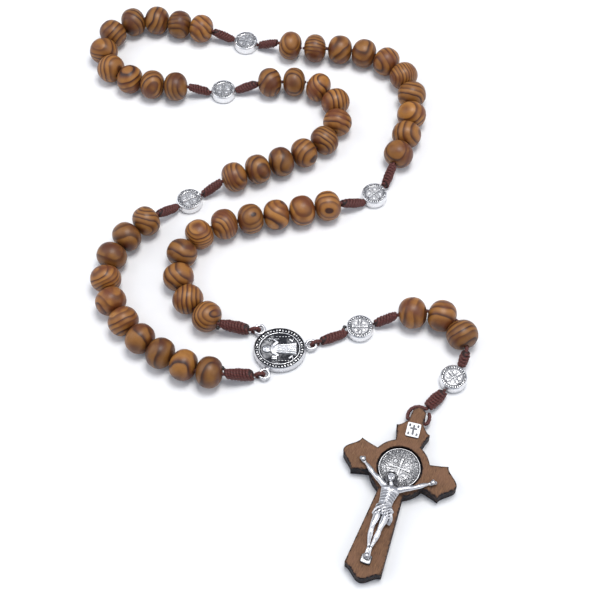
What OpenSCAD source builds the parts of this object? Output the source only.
/* [Wooden beads] */
// Diameter of a wooden bead across the cord
bead_d = 10; // [9:0.1:10]
// Length of a wooden bead along the cord
bead_l = 8.1; // [7.5:0.1:8.3]
// Bore of a wooden bead
bead_bore = 1.8; // [1.4:0.1:2.4]
// Room that one bead takes on the cord
bead_pitch = 8.4; // [8.3:0.05:8.5]

/* [Cord and knots] */
// Diameter of the cord
cord_d = 1.1; // [0.8:0.05:1.1]
// Thickness of a wrapped knot beside a medal bead
knot_d = 3.2; // [2.6:0.1:3.4]
// Thickness of a wrapped knot beside the centre medal or the crucifix
big_knot_d = 4; // [3.4:0.1:4.2]
// Room that a small knot takes on the cord
knot_pitch = 8.2; // [8:0.1:8.6]
// Room that a big knot takes on the cord
big_knot_pitch = 9.75; // [9.25:0.25:10.25]
// Bare cord between a lug and its knot
lug_gap = 2.85; // [2.8:0.05:3.1]

/* [Medals] */
// Diameter of a medal bead
medal_bead_d = 8.4; // [7.6:0.1:8.5]
// Thickness of a medal bead
medal_bead_t = 3.2; // [2.8:0.1:3.6]
// Bore of a medal bead
medal_bore = 1.6; // [1.4:0.1:1.8]
// Room that a medal bead takes on the cord
medal_pitch = 8.8; // [8.6:0.1:9]
// Long axis of the oval centre medal
centre_l = 16.2; // [15.6:0.1:16.4]
// Short axis of the oval centre medal
centre_w = 14.4; // [14:0.1:14.6]
// Thickness of the centre medal
centre_t = 3; // [2.6:0.1:3.4]
// Outside diameter of a lug ring
lug_d = 4; // [3.8:0.1:4.2]
// Hole of a lug ring
lug_bore = 2.1; // [2:0.05:2.2]
// Thickness of a lug ring
lug_t = 1; // [0.8:0.1:1]

/* [Crucifix] */
// Thickness of the wooden board
board_t = 4.6; // [4:0.1:5.2]
// Centre of the inlay to the corners of the arms
arm_l = 13.4; // [13:0.1:14]
// Centre of the inlay to the corners at the top
head_l = 12.8; // [12.4:0.1:13.4]
// Centre of the inlay to the corners at the foot
foot_l = 32.2; // [31:0.1:34]
// Distance between the two corners of an arm
flare_w = 10.4; // [9.6:0.1:10.8]
// Distance between the two corners at the foot
foot_w = 11; // [10.4:0.1:11.6]
// Diameter of the round inlay medal
inlay_d = 12.4; // [12:0.1:12.8]
// Thickness of the inlay medal
inlay_t = 1.2; // [1:0.1:1.6]
// Width of the tab that the cord goes through
tab_w = 4.2; // [3.8:0.1:4.4]
// Width of the title plate
plate_w = 4.1; // [3.8:0.1:4.6]
// Height of the title plate
plate_h = 4.6; // [4.2:0.1:5]

/* [Hidden] */
$fn = 64;

// Lugs of the centre medal, and the two points where the loop's strands meet its top arc.
// The four points are a parallelogram, so the loop swings as a closed linkage.
lug_upper = [-6.4, 7.1];
lug_lower = [-4.5, -8.4];
lug_pendant = [9.8, 1.8];
meet_lower = [7.1, 103.6];
meet_upper = meet_lower + lug_upper - lug_lower;

// Routes of the cord seen from above, each from its first to its last point
right_route = [lug_upper, [-14.5, 6.7], [-22.8, 8.8], [-29, 15.4], [-33.3, 23.6], [-33.2, 32.8],
    [-28, 40.8], [-19.6, 44.4], [-11, 46.4], [-2.6, 48], [5.8, 49.6], [14.6, 51.6], [30.2, 56.8],
    [38, 71.4], [41.6, 80.8], [43.4, 89.2], [44.1, 98], [41.4, 106.8], [35.2, 113.2], [27.6, 116.8],
    [19.2, 118.4], [11, 119], meet_upper];
left_route = [lug_lower, [-13, -9.8], [-22, -9.8], [-30, -6.7], [-37.6, -2.5], [-44.2, 2.6],
    [-50, 9.2], [-54.6, 16.4], [-56.8, 25], [-54.8, 33.6], [-50.2, 40.8], [-44, 46.4],
    [-30.6, 56.6], [-15.6, 63.6], [-7.6, 66.9], [0.4, 69.9], [8, 73.6], [14.8, 79], [19, 87.2],
    [17.6, 96], [12, 101.4], meet_lower];
top_route = [meet_lower, [-1.6, 103.8], [-10, 103.4], [-22, 102.2], [-38, 101.8], [-46.6, 102.6],
    [-55, 105], [-63, 109.4], [-66.9, 118.6], [-62.8, 128.4], [-54, 133.4], [-46, 132.2],
    [-38, 130.2], [-30, 128.2], [-15, 124.6], [-4, 121.8], meet_upper];

// Places on the pendant, and the crucifix's place and turn as it lies
medal5_at = [25, 7.6];
beads_route = [[37.6, 10.8], [43, 11.8], [50, 11.8], [55.4, 8.4], [58, 2.2], [57, -4], [54, -9.2]];
medal6_end = [51, -13.4];
cross_at = [36.2, -39.9];
cross_turn = -20;
hole_y = 16.6;
tab_top = 20.3;
bail_r = 3.3;

bead_z = bead_d / 2;
medal_z = medal_bead_t / 2;
lug_z0 = 1.2;
lug_z = 2;
hole_z = board_t / 2;
cord_r = cord_d / 2;
knot_bore = cord_d + 0.15;
joint_gap = 0.12;
bend_room = 0.0005;
meet_room = bead_pitch + 0.6;
loose_room = bead_pitch + 0.5;
end_gap = 0.25;
steep_gap = 0.6;
knot_end_r = 0.9;
tube_sides = 8;

// Vector helpers
function unit(v) = v / norm(v);
function flat(p) = [p[0], p[1]];
function lift(p, z) = [p[0], p[1], z];
function turn(a, v) = [v[0] * cos(a) - v[1] * sin(a), v[0] * sin(a) + v[1] * cos(a)];
function heading(v) = atan2(v[1], v[0]);
function rep(n, v) = [for (i = [1 : n]) v];
function last(v) = v[len(v) - 1];

// A smooth curve through the route's points: Catmull-Rom, ten steps to a piece
function point(r, i) = i < 0 ? 2 * r[0] - r[1] : i < len(r) ? r[i] : 2 * last(r) - r[len(r) - 2];
function bend(a, b, c, d, t) = 0.5 * (2 * b + (c - a) * t + (2 * a - 5 * b + 4 * c - d) * t * t
    + (3 * b - a - 3 * c + d) * t * t * t);
function smooth(r) = [for (i = [0 : len(r) - 2], k = [0 : i == len(r) - 2 ? 10 : 9])
    bend(point(r, i - 1), r[i], r[i + 1], point(r, i + 2), k / 10)];

// Running sums, the length of each step of a line, and the point at a given length
function sums(v, i = 0, s = 0) = i == len(v) ? [s] : concat([s], sums(v, i + 1, s + v[i]));
function steps(p) = [for (i = [1 : len(p) - 1]) norm(p[i] - p[i - 1])];
function along(p, s, d) = [for (k = [0, 1]) lookup(d, [for (i = [0 : len(p) - 1]) [s[i], p[i][k]]])];

// Marks: the points where one piece ends and the next begins, with the pieces' rooms
// scaled so that they fill the route
function evenly(route, rooms, heights) =
    let (p = smooth(route), s = sums(steps(p)), m = sums(rooms), fill = last(s) / last(m))
    [for (i = [0 : len(m) - 1]) lift(along(p, s, m[i] * fill), heights[i])];

// Beads stand further apart where the cord turns, or their sides would meet
function angle(a, b) = acos(min(1, unit(flat(a)) * unit(flat(b))));
function turn_at(m, i) = i == 0 || i == len(m) - 1 ? 0 : angle(m[i] - m[i - 1], m[i + 1] - m[i]);
function is_bead(h, i) = h[i] == bead_z && h[i + 1] == bead_z;
function eased(m, rooms, h) = [for (i = [0 : len(rooms) - 1]) rooms[i]
    + (is_bead(h, i) ? bend_room * (pow(turn_at(m, i), 2) + pow(turn_at(m, i + 1), 2)) : 0)];
function marks(route, rooms, heights) =
    evenly(route, eased(evenly(route, rooms, heights), rooms, heights), heights);

// Rooms and heights along the three stretches of the loop
start_rooms = concat([lug_gap, big_knot_pitch], rep(10, bead_pitch));
medal_rooms = [knot_pitch, medal_pitch, knot_pitch];
right_rooms = concat(start_rooms, medal_rooms, rep(8, bead_pitch), [meet_room]);
left_rooms = concat(start_rooms, medal_rooms, rep(7, bead_pitch), [meet_room]);
top_rooms = concat([meet_room, bead_pitch], medal_rooms, rep(10, bead_pitch), medal_rooms,
    [meet_room]);
start_heights = concat(rep(2, lug_z), rep(11, bead_z), rep(2, medal_z));
right_heights = concat(start_heights, rep(10, bead_z));
left_heights = concat(start_heights, rep(9, bead_z));
top_heights = concat(rep(3, bead_z), rep(2, medal_z), rep(11, bead_z), rep(2, medal_z),
    rep(2, bead_z));
right_marks = marks(right_route, right_rooms, right_heights);
left_marks = marks(left_route, left_rooms, left_heights);
top_marks = marks(top_route, top_rooms, top_heights);

// Pendant: a straight link from the lug to the far side of medal bead 5, the link with the
// three beads and medal bead 6, and the crucifix link with its bail round the tab
link_dir = unit(medal5_at - lug_pendant);
link_marks = [lift(lug_pendant, lug_z), lift(lug_pendant + lug_gap * link_dir, lug_z),
    lift(medal5_at - medal_pitch / 2 * link_dir, medal_z),
    lift(medal5_at + medal_pitch / 2 * link_dir, medal_z)];
beads_rooms = [knot_pitch, loose_room, loose_room, loose_room, 5.6, medal_pitch];
beads_heights = [medal_z, bead_z, bead_z, bead_z, bead_z, medal_z, medal_z];
beads_marks = marks(concat([flat(link_marks[3])], beads_route, [medal6_end]),
    beads_rooms, beads_heights);
hole_at = cross_at + turn(cross_turn, [0, hole_y]);
tip_y = tab_top - hole_y - tab_w / 2;
tip_at = hole_at + turn(cross_turn, [0, tip_y]);
bail_dir = unit(medal6_end - tip_at);
bail_top = lift(tip_at + bail_r * bail_dir, hole_z);
cross_start = lift(medal6_end, medal_z);

// Cord: one closed tube swept through a list of points. Each ring turns with the cord, and
// refs holds a direction square to the path at each point.
function way(p, i) = unit((i == 0 ? [0, 0, 0] : unit(p[i] - p[i - 1]))
    + (i == len(p) - 1 ? [0, 0, 0] : unit(p[i + 1] - p[i])));
function ring(c, t, ref) =
    let (u = unit(ref - (ref * t) * t), v = cross(t, u))
    [for (k = [0 : tube_sides - 1]) let (a = 360 * k / tube_sides)
        c + cord_r * (u * cos(a) + v * sin(a))];
module tube(p, refs) {
    n = tube_sides;
    points = [for (i = [0 : len(p) - 1]) each ring(p[i], way(p, i), refs[i])];
    skin = [for (i = [0 : len(p) - 2], k = [0 : n - 1])
        let (a = i * n + k, b = i * n + (k + 1) % n) [a, a + n, b + n, b]];
    start_cap = [for (k = [0 : n - 1]) k];
    end_cap = [for (k = [n - 1 : -1 : 0]) (len(p) - 1) * n + k];
    polyhedron(points, concat(skin, [start_cap, end_cap]), convexity = 10);
}

// Directions square to a nearly level path, one for each point
function side(v) = unit([-v[1], v[0], 0]);
function sides(p) = [for (i = [0 : len(p) - 1])
    side(p[min(i + 1, len(p) - 1)] - p[max(i - 1, 0)])];
function pulled(a, b) = a + joint_gap * unit(b - a);
function before_last(m) = m[len(m) - 2];

// Loop of cord through a lug ring: under the ring, up through the hole and over the ring to
// the knot. The pairs are distance from the lug's centre and height.
loop_shape = [[lug_gap, 0.7], [1.8, 0.55], [0.8, 0.6], [0.15, 1.1], [0.05, 1.75], [0.3, 2.5],
    [0.9, 2.8], [1.6, 2.8], [2.25, 2.8]];
function loop_points(m) = let (d = unit(flat(m[1] - m[0])))
    [for (q = loop_shape) lift(flat(m[0]) + q[0] * d, q[1])];
module loop_cord(m) {
    rest = [for (i = [1 : len(m) - 2]) m[i]];
    end = pulled(last(m), before_last(m));
    refs = concat(rep(len(loop_shape), side(m[1] - m[0])), sides(concat(rest, [end])));
    color("maroon") tube(concat(loop_points(m), rest, [end]), refs);
}
module plain_cord(m) {
    inner = [for (i = [1 : len(m) - 2]) m[i]];
    path = concat([pulled(m[0], m[1])], inner, [pulled(last(m), before_last(m))]);
    color("maroon") tube(path, sides(path));
}

// Lays a shape made along +X on the line from a to b, with its middle at the middle
module lay(a, b) {
    d = b - a;
    translate((a + b) / 2) rotate([0, -asin(d[2] / norm(d)), heading(d)]) children();
}

// Solid turned about the X axis. The outline's pairs are place along the axis and radius.
module turned(outline) {
    rotate([0, 90, 0]) rotate_extrude() polygon([for (q = outline) [q[1], q[0]]]);
}

// Wooden bead: an ellipse turned about the cord, cut flat at the ends and bored
module bead() {
    rows = 12;
    edge = acos(bead_bore / bead_d);
    turned([for (k = [0 : rows]) let (a = edge * (2 * k / rows - 1))
        [bead_l / 2 * sin(a) / sin(edge), bead_d / 2 * cos(a)]]);
}
module beads(m, first, count) {
    color("peru") for (i = [first : first + count - 1]) lay(m[i], m[i + 1]) bead();
}

// Wrapped knot: a barrel with a bore for the cord, thick in the middle
module knot(a, b, thick, gap = end_gap) {
    long = norm(b - a) - 2 * gap;
    rows = 8;
    barrel = [for (k = [0 : rows]) let (t = k / rows)
        [long * (t - 0.5), knot_end_r + (thick / 2 - knot_end_r) * pow(sin(180 * t), 0.7)]];
    color("brown") lay(a, b)
        turned(concat([[-long / 2, knot_bore / 2]], barrel, [[long / 2, knot_bore / 2]]));
}

// Medal bead: a disc with sunk faces, a raised cross on each face and a bore along the cord
module medal_bead(a, b) {
    rim = 0.8;
    sunk = 0.3;
    color("silver") lay(a, b) difference() {
        cylinder(d = medal_bead_d, h = medal_bead_t, center = true);
        for (s = [-1, 1]) translate([0, 0, s * medal_bead_t / 2]) difference() {
            cylinder(d = medal_bead_d - 2 * rim, h = 2 * sunk, center = true);
            for (turn = [0, 90]) rotate(turn) cube([5, 0.9, 3 * sunk], center = true);
        }
        rotate([0, 90, 0]) cylinder(d = medal_bore, h = medal_bead_d + 1, center = true);
    }
}

// Centre medal: an oval plate with three lug rings, a raised rim, an inner ring and a figure
module oval(l, w) {
    polygon([for (k = [0 : 71]) [l / 2 * cos(5 * k), w / 2 * sin(5 * k)]]);
}
module oval_ring(l, w, wide) {
    difference() {
        oval(l, w);
        oval(l - 2 * wide, w - 2 * wide);
    }
}
// Robed figure with a staff, its head towards -X
module figure_outline() {
    polygon([[-2.6, -0.7], [-1.6, -1.7], [3.8, -2.2], [4.6, -1.2], [4.6, 1.2], [3.8, 2.1],
        [-1.6, 1.7], [-2.6, 0.7]]);
    translate([-3.5, 0]) circle(d = 2, $fn = 24);
    translate([-2.5, 3]) square([4.4, 0.5], center = true);
}
module centre_medal() {
    sunk = 0.5;
    rim = 0.6;
    bridge = [2, 1.8, lug_t];
    bridge_in = 2.4;
    lugs = [lug_upper, lug_lower, lug_pendant];
    color("silver") {
        difference() {
            union() {
                linear_extrude(centre_t - sunk) oval(centre_l, centre_w);
                for (at = lugs) translate(lift(at, lug_z0)) cylinder(d = lug_d, h = lug_t);
                for (at = lugs) rotate(heading(at))
                    translate([norm(at) - bridge_in, 0, lug_z0 + lug_t / 2])
                        cube(bridge, center = true);
                translate([0, 0, centre_t - sunk]) {
                    linear_extrude(sunk) oval_ring(centre_l, centre_w, rim);
                    linear_extrude(sunk - 0.1) oval_ring(12.8, 10.8, 0.35);
                    linear_extrude(sunk - 0.1) figure_outline();
                }
            }
            for (at = lugs) translate(lift(at, 0)) cylinder(d = lug_bore, h = centre_t + 1);
        }
    }
}

// Crucifix: everything is drawn upright with the inlay's centre at the origin
module place_cross(z = 0) {
    translate(lift(cross_at, z)) rotate(cross_turn) children();
}
recess_d = inlay_d + 1;
recess_t = 1.6;
boss_d = 17.8;
waist_w = 6.6;
tip_l = 4;
foot_tip_l = 3;
nail_d = 0.7;
nail_places = [[-10.7, -1.7], [10.7, -1.7], [0, -28.9]];
hand_nail_top = 6.25;
feet_nail_top = 7;

// One arm pointing along +Y: a waist that flares to two corners, then an ogee to its tip
module arm(corner, half, tip) {
    root = 2;
    flare = [for (k = [0 : 8]) let (t = k / 8)
        [waist_w / 2 + (half - waist_w / 2) * t * t, root + (corner - root) * t]];
    ogee = [for (k = [1 : 15]) let (t = 1 - k / 8) [half * t, corner + tip * pow(cos(90 * t), 2)]];
    other = [for (k = [8 : -1 : 0]) [-flare[k][0], flare[k][1]]];
    polygon(concat(flare, ogee, other));
}
// The long shaft pointing along +Y, with straight sides and the same ogee end
module shaft() {
    half = foot_w / 2;
    ogee = [for (k = [0 : 16]) let (t = 1 - k / 8)
        [half * t, foot_l + foot_tip_l * pow(cos(90 * t), 2)]];
    polygon(concat([[-waist_w / 2, 2], [waist_w / 2, 2]], ogee));
}
module board_outline() {
    circle(d = boss_d);
    arm(head_l, flare_w / 2, tab_top - head_l - 3.2);
    for (a = [-90, 90]) rotate(a) arm(arm_l, flare_w / 2, tip_l);
    rotate(180) shaft();
    translate([-tab_w / 2, 9]) square([tab_w, tab_top - 9 - tab_w / 2]);
    translate([0, tab_top - tab_w / 2]) circle(d = tab_w);
}
module crucifix_board() {
    color("sienna") place_cross() difference() {
        linear_extrude(board_t) board_outline();
        translate([0, 0, board_t - recess_t]) cylinder(d = recess_d, h = recess_t + 1);
        translate([0, hole_y, hole_z]) rotate([0, 90, 0])
            cylinder(d = cord_d + 0.7, h = 3 * tab_w, center = true);
        for (at = nail_places) translate(lift(at, board_t - 2)) cylinder(d = nail_d + 0.1, h = 3);
    }
}
module inlay_medal() {
    color("gainsboro") place_cross(board_t - recess_t) {
        cylinder(d = inlay_d, h = inlay_t - 0.2);
        for (a = [0, 90]) rotate(a) translate([0, 0, inlay_t / 2])
            cube([7, 1.2, inlay_t], center = true);
    }
}
module title_plate() {
    plate_t = 0.6;
    lean = 6;
    color("white") place_cross(board_t) translate([0.1, 12.4, plate_t / 2]) rotate(lean)
        cube([plate_w, plate_h, plate_t], center = true);
}

// Figure on the crucifix: limbs are rounded rods between two points
module limb(a, b, ra, rb) {
    hull() {
        translate(a) sphere(r = ra, $fn = 16);
        translate(b) sphere(r = rb, $fn = 16);
    }
}
module corpus_body() {
    limb([-1.2, -4.9, 7.2], [-1, -5.4, 7.1], 1.5, 1.4);
    limb([-1.6, -8, 6.6], [1.6, -8, 6.6], 1.3, 1.3);
    limb([0, -9, 6.6], [0, -12.6, 6.4], 1.9, 1.5);
    limb([-0.9, -14.2, 6.4], [0.9, -15.4, 6.4], 1.5, 1.5);
    for (s = [-1, 1]) {
        limb([2.4 * s, -7.4, 6.6], [6.6 * s, -4.9, 6.2], 0.9, 0.7);
        limb([6.6 * s, -4.9, 6.2], [10.7 * s, -1.7, 5.5], 0.7, 0.6);
        limb([1.1 * s, -15.6, 6.4], [0.9 * s, -20, 7], 1.2, 0.9);
        limb([0.9 * s, -20, 7], [0.4 * s, -26.4, 6.2], 0.85, 0.6);
        translate([10.7 * s, -1.7, board_t + 0.55]) cylinder(r = 1.1, h = 1.1, center = true, $fn = 24);
    }
    limb([0, -27, 6.2], [0, -29.6, 5.6], 0.9, 0.9);
    translate([-1.5, -31, board_t]) cube([3, 2.4, 1.2]);
}
module corpus() {
    color("silver") place_cross() difference() {
        corpus_body();
        for (at = nail_places) translate(lift(at, 0)) cylinder(d = nail_d + 0.3, h = 20, $fn = 24);
        translate([-20, -40, board_t - 10]) cube([40, 80, 10]);
        translate([0, 0, board_t - 1]) cylinder(d = recess_d, h = 1.9);
    }
}
module nail(at, top) {
    color("dimgray") place_cross() translate(lift(at, board_t - 1.8)) {
        cylinder(d = nail_d, h = top - board_t + 1.8, $fn = 24);
        translate([0, 0, top - board_t + 1.8]) cylinder(d = 1.5, h = 0.4, $fn = 24);
    }
}

// The bail: round the tab's tip, down its sides and through the hole
module crucifix_cord() {
    lean = heading(bail_dir) - cross_turn;
    stop = lean - 24;
    start = pulled(cross_start, bail_top);
    first = [for (k = [0 : 5]) let (a = lean + (180 - lean) * k / 5)
        [bail_r * cos(a), tip_y + bail_r * sin(a)]];
    through = [[-bail_r + 0.2, 0.5], [-2.6, 0], [2.6, 0], [bail_r - 0.2, 0.5]];
    second = [for (k = [0 : 3]) let (a = stop * k / 3)
        [bail_r * cos(a), tip_y + bail_r * sin(a)]];
    bail = [for (q = concat(first, through, second)) lift(hole_at + turn(cross_turn, q), hole_z)];
    path = concat([start], bail);
    color("maroon") tube(path, rep(len(path), [0, 0, 1]));
}

centre_medal();
beads(right_marks, 2, 10);  // decade1_beads
beads(right_marks, 15, 9);  // decade2_beads
beads(top_marks, 18, 1);  // decade2_last_bead
beads(top_marks, 5, 10);  // decade3_beads
beads(top_marks, 0, 2);  // decade4_first_beads
beads(left_marks, 15, 8);  // decade4_beads
beads(left_marks, 2, 10);  // decade5_beads
medal_bead(right_marks[13], right_marks[14]);  // medal_bead_1
medal_bead(top_marks[16], top_marks[17]);  // medal_bead_2
medal_bead(top_marks[3], top_marks[4]);  // medal_bead_3
medal_bead(left_marks[13], left_marks[14]);  // medal_bead_4
medal_bead(link_marks[2], link_marks[3]);  // medal_bead_5
medal_bead(beads_marks[5], beads_marks[6]);  // medal_bead_6
beads(beads_marks, 1, 1);  // pendant_bead_1
beads(beads_marks, 2, 1);  // pendant_bead_2
beads(beads_marks, 3, 1);  // pendant_bead_3
knot(right_marks[1], right_marks[2], big_knot_d);  // knot_centre_upper
knot(right_marks[12], right_marks[13], knot_d);  // knot_medal1_before
knot(right_marks[14], right_marks[15], knot_d);  // knot_medal1_after
knot(top_marks[17], top_marks[18], knot_d);  // knot_medal2_before
knot(top_marks[15], top_marks[16], knot_d);  // knot_medal2_after
knot(top_marks[4], top_marks[5], knot_d);  // knot_medal3_before
knot(top_marks[2], top_marks[3], knot_d);  // knot_medal3_after
knot(left_marks[14], left_marks[15], knot_d);  // knot_medal4_before
knot(left_marks[12], left_marks[13], knot_d);  // knot_medal4_after
knot(left_marks[1], left_marks[2], big_knot_d);  // knot_centre_lower
knot(link_marks[1], link_marks[2], knot_d);  // knot_centre_pendant
knot(beads_marks[0], beads_marks[1], knot_d);  // knot_medal5_after
knot(beads_marks[4], beads_marks[5], knot_d, steep_gap);  // knot_medal6_before
knot(cross_start, bail_top, big_knot_d, steep_gap);  // knot_crucifix
loop_cord(right_marks);  // cord_right_strand
plain_cord(top_marks);  // cord_top_arc
loop_cord(left_marks);  // cord_left_strand
loop_cord(link_marks);  // cord_pendant_link
plain_cord(beads_marks);  // cord_pendant_beads
crucifix_cord();  // cord_crucifix_link
crucifix_board();
inlay_medal();
title_plate();
corpus();
nail(nail_places[0], hand_nail_top);  // hand_nail_left
nail(nail_places[1], hand_nail_top);  // hand_nail_right
nail(nail_places[2], feet_nail_top);  // feet_nail
